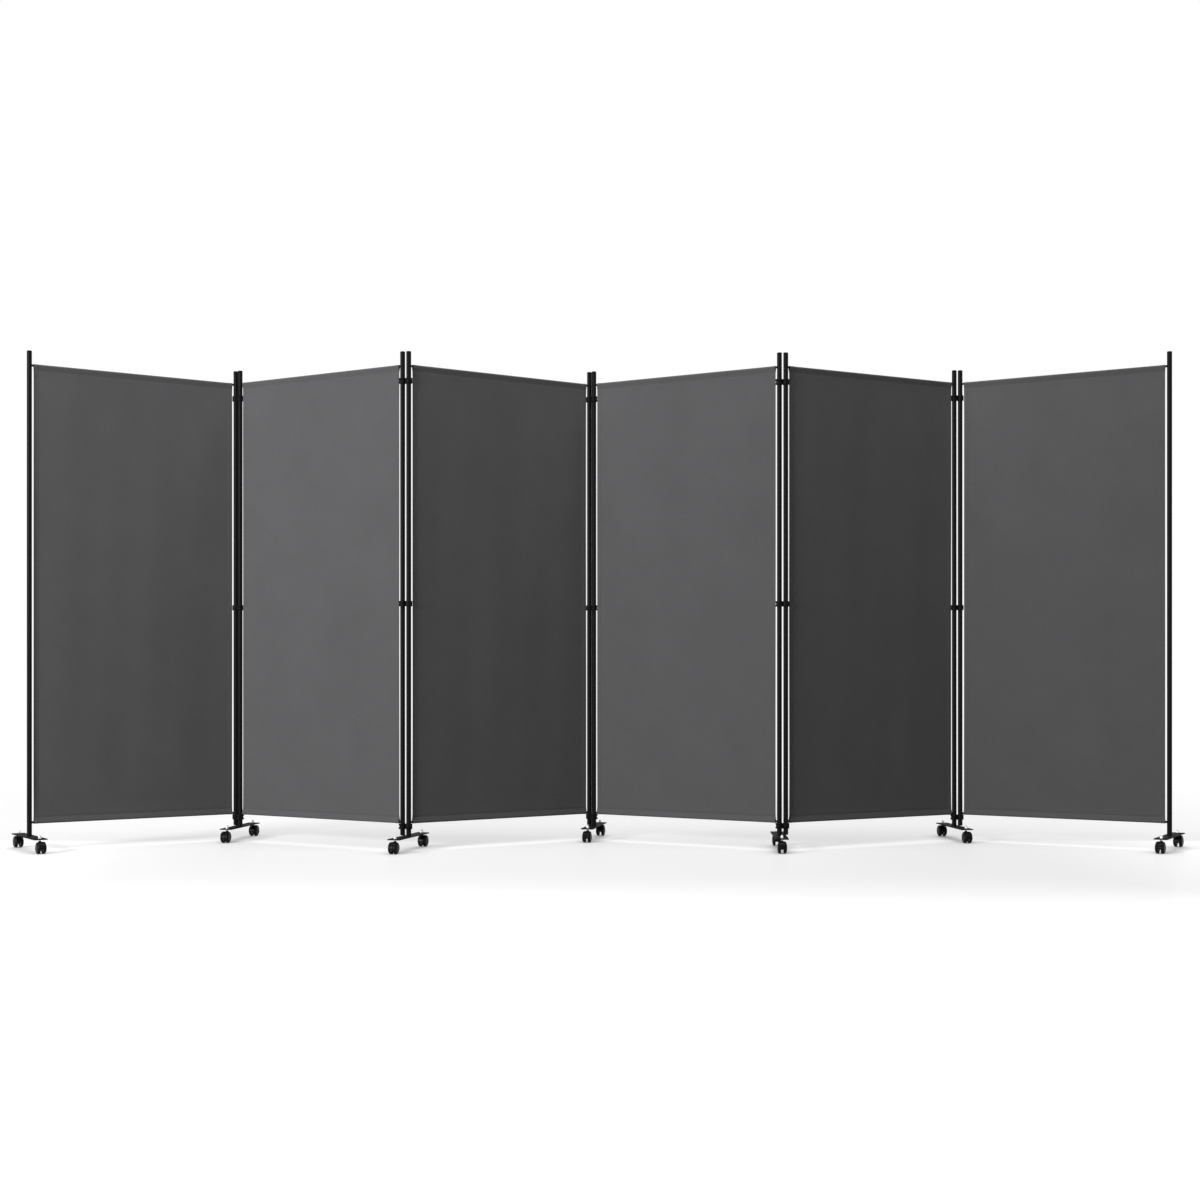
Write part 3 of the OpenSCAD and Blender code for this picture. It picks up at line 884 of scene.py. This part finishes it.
class DIVIDER_OT_plates(bpy.types.Operator):
    """Makes the flat foot plates, with the holes for their screws"""

    bl_idname = "divider.plates"
    bl_label = "Foot Plates"

    def execute(self, context):
        s, finish = context.scene.divider_feet, context.scene.divider_finish
        coat = powder_coat("plate_coat", finish.coat, finish.plate_roughness, finish.plate_gloss)
        outline = []
        for sx, sy, first in ((1, 1, 0), (-1, 1, 90), (-1, -1, 180), (1, -1, 270)):
            for i in range(9):
                x, y = polar(s.corner, radians(first + 90 * i / 8))
                outline.append((sx * (s.length / 2 - s.corner) + x,
                                sy * (s.width / 2 - s.corner) + y))
        hole = circle(s.thread / 2 + FIT, 24)
        for foot, shape, stem in each_foot():
            low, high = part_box(f"{foot}_plate")
            edges = []
            for loop in [outline] + [[(at + x, y) for x, y in hole] for at in (-stem, 0.0, stem)]:
                ring = shape.level(low.z, loop)
                edges += [shape.mesh.edges.new((a, b)) for a, b in zip(ring, ring[1:] + ring[:1])]
            filled = bmesh.ops.triangle_fill(shape.mesh, edges=edges, use_beauty=True)
            faces = [g for g in filled["geom"] if isinstance(g, bmesh.types.BMFace)]
            grown = bmesh.ops.extrude_face_region(shape.mesh, geom=faces)
            lifted = [g for g in grown["geom"] if isinstance(g, bmesh.types.BMVert)]
            bmesh.ops.translate(shape.mesh, verts=lifted, vec=(0, 0, high.z - low.z))
            shape.mesh.normal_update()
            rims = [e for e in shape.mesh.edges if len(e.link_faces) == 2
                    and e.calc_face_angle() > radians(60)]
            bmesh.ops.bevel(shape.mesh, geom=rims, offset=s.bevel, segments=2, profile=0.5,
                            affect="EDGES", clamp_overlap=True)
            made = shape.piece(f"{foot}_base", foot, "plates", coat)
            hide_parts(f"{foot}_plate")
        return {"FINISHED"}


class DIVIDER_OT_fasteners(bpy.types.Operator):
    """Makes the dome nuts, the casters' stems and the screw of each foot"""

    bl_idname = "divider.fasteners"
    bl_label = "Fasteners"

    def execute(self, context):
        s = context.scene.divider_feet
        zinc = bright_zinc(context.scene.divider_finish.zinc)
        for foot, shape, stem in each_foot():
            under, over = (corner.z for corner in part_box(f"{foot}_plate"))
            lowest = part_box(f"{foot}_fasteners")[0].z
            for x in (-stem, stem):
                self.dome_nut(shape, Matrix.Translation((x, 0, over)), s)
                self.stem(shape, Matrix.Translation((x, 0, 0)), lowest, under, over + s.nut, s)
            self.screw(shape, under, over + REST + context.scene.divider_posts.plug, s)
            made = shape.piece(f"{foot}_nuts_and_screws", foot, "fasteners", zinc, sharp=24.0)
            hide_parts(f"{foot}_fasteners")
        return {"FINISHED"}

    def dome_nut(self, shape, place, s):
        """A hexagon with turned-off corners under a dome."""
        dome, cut, ledge = s.hexagon / 2 - 0.0003, 0.0005, 0.0001
        levels = [
            (0.0, hexagon(s.hexagon, cut)), (cut, hexagon(s.hexagon)),
            (s.nut - cut - ledge, hexagon(s.hexagon)), (s.nut - ledge, circle(dome + 2 * ledge)),
            (s.nut, circle(dome)),
        ]
        for t in quarter(12)[1:-1]:
            levels.append((s.nut + s.dome * sin(t), circle(dome * cos(t) ** 0.9)))
        levels.append((s.nut + s.dome, circle(dome * 0.03)))
        shape.stack(levels, place)

    def stem(self, shape, place, low, under, top, s):
        """A threaded stem with the hexagon that the plate sits on."""
        edge, tip, seat = 0.0003, 0.0004, under - 0.0015
        rod, whole, cut = circle(s.thread / 2), hexagon(s.hexagon), hexagon(s.hexagon, tip)
        shape.stack([
            (low, circle(s.thread / 2 - tip)), (low + tip, rod), (seat, rod), (seat, cut),
            (seat + edge, whole), (under - edge, whole), (under, cut), (under, rod),
            (top - 0.0002, rod),
        ], place)

    def screw(self, shape, under, top, s):
        """The screw under the plate, with a hexagonal socket in its round head."""
        head, face, socket = s.screw_head / 2, under - s.screw_head_height, 0.004
        rod = circle(s.thread / 2)
        shape.stack([
            (face + 0.0018, circle(socket * 0.3)), (face + 0.0016, hexagon(socket)),
            (face, hexagon(socket)), (face, circle(head - 0.0016)),
            (face + 0.0004, circle(head - 0.0006)), (face + 0.0012, circle(head)),
            (under, circle(head)), (under, rod), (top, rod),
        ])


# Casters


class DIVIDER_OT_hoods(bpy.types.Operator):
    """Makes the hood of each caster, with its web and the collar round the stem"""

    bl_idname = "divider.hoods"
    bl_label = "Caster Hoods"

    def execute(self, context):
        s, finish = context.scene.divider_casters, context.scene.divider_finish
        stem = context.scene.divider_feet.thread / 2
        plastic = moulded_plastic("hood_plastic", finish.caster, finish.caster_gloss)
        for caster, shape, trail in each_caster():
            self.fender(shape, trail, s)
            self.web(shape, turned((0, -1, 0), (trail, 0, s.wheel / 2)), s)
            self.collar(shape, stem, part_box(f"{caster}_hood")[1].z, s)
            made = shape.piece(
                f"{caster}_fender", f"{caster}_caster", "hoods", plastic, sharp=28.0
            )
            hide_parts(f"{caster}_hood")
        return {"FINISHED"}

    def fender(self, shape, trail, s):
        """The barrel-shaped shell over the wheels, from its lip over the top to its heel."""
        inner, half = s.wheel / 2 + s.gap, s.hood_width / 2
        curve, drop, fullness = 0.0062, 0.0029, 0.94

        def fall(y, start, width, depth, fullness=1.0):
            past = max(0.0, abs(y) - start) / width
            return depth * (1 - sqrt(1 - fullness * past * past))

        places = [half * i / 12 for i in range(-12, 13)]
        section = [(y, inner + s.hood - fall(y, half - curve, curve, drop, fullness))
                   for y in places]
        section += [(y, inner - fall(y, s.inner + s.tread, s.shoulder + s.gap,
                                     s.shoulder_height + s.gap)) for y in reversed(places)]
        lip, heel, steps = radians(24), radians(187), 30
        rings = []
        for i in range(steps + 1):
            t = lip + (heel - lip) * i / steps
            rings.append(shape.ring([
                (trail + r * cos(t), y, s.wheel / 2 + r * sin(t)) for y, r in section
            ]))
        shape.skins(rings)
        for ring in (rings[0], rings[-1]):
            shape.skin(ring[:len(places)], ring[len(places):][::-1], closed=False)

    def web(self, shape, axle, s):
        """The plate between the wheels, with the bore for the axle."""
        reach = s.wheel / 2 + s.gap + 0.0006
        drop = s.wheel / 2 - s.web_low
        boss = s.axle / 2 + 0.004
        marks = {asin(drop / reach), asin(drop / boss)}
        angles = sorted(
            {2 * pi * i / 72 for i in range(72)} | {pi + m for m in marks}
            | {2 * pi - m for m in marks}
        )

        def outline(inset):
            points = []
            for t in angles:
                r = reach - inset
                below = -sin(t)
                if below * r > drop - inset:
                    r = max(boss - inset, (drop - inset) / below)
                points.append(polar(r, t))
            return points

        half, edge = s.web / 2, 0.0005
        bore = [polar(s.axle / 2 + FIT, t) for t in angles]
        whole, cut = outline(0.0), outline(edge)
        shape.skins([shape.level(z, points, axle) for z, points in (
            (-half, bore), (-half, cut), (edge - half, whole),
            (half - edge, whole), (half, cut), (half, bore),
        )], looped=True)

    def collar(self, shape, stem, top, s):
        """The collar round the stem, which rises out of the hood in a hollow curve."""
        foot, neck, bore = 0.0098, 0.0046, stem + FIT
        base, edge, lead = s.wheel / 2 + 0.0135, 0.0006, 0.0002
        profile = [(bore, base), (foot, base)]
        for t in (i / 10 for i in range(1, 11)):
            profile.append((neck + (foot - neck) * (1 - t) ** 1.9, base + (top - edge - base) * t))
        profile += [(neck - 0.0005, top), (bore + lead, top), (bore, top - lead)]
        shape.lathe(profile, looped=True)


class DIVIDER_OT_wheels(bpy.types.Operator):
    """Makes the two wheels of each caster and the axle that joins them"""

    bl_idname = "divider.wheels"
    bl_label = "Caster Wheels"

    def execute(self, context):
        s, finish = context.scene.divider_casters, context.scene.divider_finish
        plastic = moulded_plastic("wheel_plastic", finish.caster, finish.caster_gloss)
        wheel = self.wheel_profile(s)
        reach = s.inner + s.tread + 0.001
        axle = pin(s.axle / 2, -reach, reach, 0.0003)
        for caster, shape, trail in each_caster():
            middle = (trail, 0, s.wheel / 2)
            for side in (-1, 1):
                shape.lathe(wheel, turned((0, side, 0), middle), steps=72)
            shape.lathe(axle, turned((0, 1, 0), middle), steps=24)
            made = shape.piece(
                f"{caster}_rollers", f"{caster}_rollers", "wheels", plastic, sharp=28.0
            )
            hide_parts(f"{caster}_wheels")
        return {"FINISHED"}

    def wheel_profile(self, s):
        """Profile of a wheel: hub, hollow and rim inside, tread, shoulder and dished face."""
        r, inner, tread = s.wheel / 2, s.inner, s.inner + s.tread
        bore, hub, rim, edge = s.axle / 2 + FIT, 0.005, 0.0155, 0.0003
        stop, hollow, face = tread + 0.0015, tread - 0.0022, tread + s.shoulder
        return [
            (0.0, stop), (bore, stop), (bore, inner), (hub - edge, inner), (hub, inner + edge),
            (hub, tread - 0.002), (hub + 0.0008, hollow), (rim - 0.0008, hollow),
            (rim, tread - 0.003), (rim, inner + edge), (rim + edge, inner),
            (r - 0.0008, inner), (r - 0.0002, inner + edge), (r, inner + 0.0009),
            *((r - s.shoulder_height * (1 - cos(t)), tread + s.shoulder * sin(t))
              for t in quarter(12)),
            (0.0084, face), (0.008, face - 0.0004), (0.0074, face - 0.0005),
            (0.0042, face - 0.0004), (0.0038, face - 0.0001), (0.0032, face), (0.0, face),
        ]


# Stage


class DIVIDER_OT_stage(bpy.types.Operator):
    """Makes the floor, the lamps, the pale background and the camera"""

    bl_idname = "divider.stage"
    bl_label = "Stage"

    def execute(self, context):
        scene = context.scene
        s = scene.divider_stage
        scene.view_settings.view_transform = "Standard"
        self.floor(scene, s)
        self.background(scene, s)
        # Name, power, size, place and the point that it shines at
        lamps = (
            ("key_lamp", s.key, (1.6, 0.9), (-5.2, -4.8, 2.2), (0.0, 0.0, 0.9)),
            ("top_lamp", s.top, (5.0, 1.0), (0.2, -0.6, 3.9), (0.2, -0.5, 0.0)),
            ("back_lamp", s.back, (3.0, 2.0), (0.3, 4.6, 6.0), (0.2, 0.0, 0.9)),
        )
        for name, watts, size, at, towards in lamps:
            lamp = bpy.data.lights.new(name, "AREA")
            lamp.shape = "RECTANGLE"
            lamp.size, lamp.size_y = size
            lamp.energy = watts
            aim = (Vector(towards) - Vector(at)).to_track_quat("-Z", "Y").to_euler()
            self.stand(scene, name, lamp, at, aim)
        camera = bpy.data.cameras.new("camera")
        camera.lens, camera.sensor_width = s.lens, 36.0
        camera.shift_y = s.painted_shade_fade
        camera.clip_end = 200.0
        at = (s.offset, -s.distance, s.eye_height)
        scene.camera = self.stand(scene, "camera", camera, at, (pi / 2, 0, 0))
        return {"FINISHED"}

    def stand(self, scene, name, data, at=(0, 0, 0), rotation=(0, 0, 0)):
        """Puts a lamp, the camera or the floor in the scene."""
        made = bpy.data.objects.new(name, data)
        made.location = at
        made.rotation_euler = rotation
        scene.collection.objects.link(made)
        return made

    def floor(self, scene, s):
        """A wide floor that looks white to the camera and keeps the screen's soft shadow, partly
        cast by the lamps and partly painted: its own white is greyer near the screen and under
        pieces close to it.
        """
        mesh = bmesh.new()
        bmesh.ops.create_grid(mesh, x_segments=2, y_segments=2, size=60.0)
        data = bpy.data.meshes.new("floor")
        mesh.to_mesh(data)
        mesh.free()
        made = self.stand(scene, "floor", data)
        f = Finish("floor")
        seen = f.rays("Camera", "Glossy")
        # Painted shade: the floor's own white is greyer near the screen and fades to full white
        # away from it
        x, y, _ = f.parts(f.place())
        away = abs(y - s.glow_middle).larger(abs(x) - s.glow_side)
        painted_shade_fade = f.node("ShaderNodeMapRange", {"interpolation_type": "SMOOTHSTEP"}, {
            "Value": away, "From Min": s.glow_start, "From Max": s.glow_start + s.glow_width,
        })
        # Painted contact shade: ambient occlusion darkens the floor's own white under pieces that
        # stand close to it
        painted_contact_shade = f.node(
            "ShaderNodeAmbientOcclusion", {"samples": 8}, {"Distance": s.near}, "Color"
        )
        own_white_with_painted_shade = f.mix(1.0, f.mix(painted_shade_fade, rgba([s.glow] * 3), WHITE), painted_contact_shade, "MULTIPLY")
        lit = f.mix(painted_shade_fade * (y > s.glow_middle), rgba(s.floor), BLACK)
        matt = f.node("ShaderNodeBsdfPrincipled", {}, {
            "Base Color": f.mix(seen, rgba([s.bounce] * 3), lit),
            "Roughness": 1.0,
            "Specular IOR Level": 0.0,
            "Emission Color": f.mix(seen, BLACK, own_white_with_painted_shade),
            "Emission Strength": 1.0,
        })
        mirror = f.node("ShaderNodeBsdfGlossy", {}, {"Color": WHITE, "Roughness": 0.25})
        data.materials.append(f.finished(
            f.node("ShaderNodeMixShader", {}, {0: s.shine, 1: matt, 2: mirror})
        ))

    def background(self, scene, s):
        """White where it is seen, and an even light on everything else."""
        f = Finish("background", "worlds")
        seen = f.rays("Camera", "Glossy", "Transmission")
        shader = f.node("ShaderNodeBackground", {}, {
            "Color": WHITE, "Strength": seen * (1.0 - s.ambient) + s.ambient,
        })
        scene.world = f.finished(shader, "ShaderNodeOutputWorld")


class DIVIDER_PT_sidebar(bpy.types.Panel):
    """Lists what makes the screen, with its sizes and colours"""

    bl_idname = "DIVIDER_PT_sidebar"
    bl_label = "Folding Room Divider"
    bl_space_type = "VIEW_3D"
    bl_region_type = "UI"
    bl_category = "Divider"

    def draw(self, context):
        for operator in OPERATORS:
            self.layout.operator(operator.bl_idname)
        for name, group in SETTINGS.items():
            box = self.layout.box()
            box.label(text=group.__doc__)
            settings = getattr(context.scene, name)
            for prop in group.__annotations__:
                box.prop(settings, prop)


SETTINGS = {
    "divider_posts": PostSettings,
    "divider_fabric": FabricSettings,
    "divider_clips": ClipSettings,
    "divider_feet": FootSettings,
    "divider_casters": CasterSettings,
    "divider_finish": FinishSettings,
    "divider_stage": StageSettings,
}
OPERATORS = (
    DIVIDER_OT_posts, DIVIDER_OT_fabric, DIVIDER_OT_clips, DIVIDER_OT_plates,
    DIVIDER_OT_fasteners, DIVIDER_OT_hoods, DIVIDER_OT_wheels, DIVIDER_OT_stage,
)
CLASSES = (*SETTINGS.values(), *OPERATORS, DIVIDER_PT_sidebar)


def register():
    """Adds the settings, the operators and the panel."""
    for item in CLASSES:
        bpy.utils.register_class(item)
    for name, group in SETTINGS.items():
        setattr(bpy.types.Scene, name, PointerProperty(type=group))


def unregister():
    """Takes them away again."""
    for name in SETTINGS:
        delattr(bpy.types.Scene, name)
    for item in reversed(CLASSES):
        bpy.utils.unregister_class(item)


def main():
    """Makes the whole screen and its stage."""
    register()
    for operator in OPERATORS:
        group, name = operator.bl_idname.split(".")
        getattr(getattr(bpy.ops, group), name)()


if __name__ == "__main__":
    main()
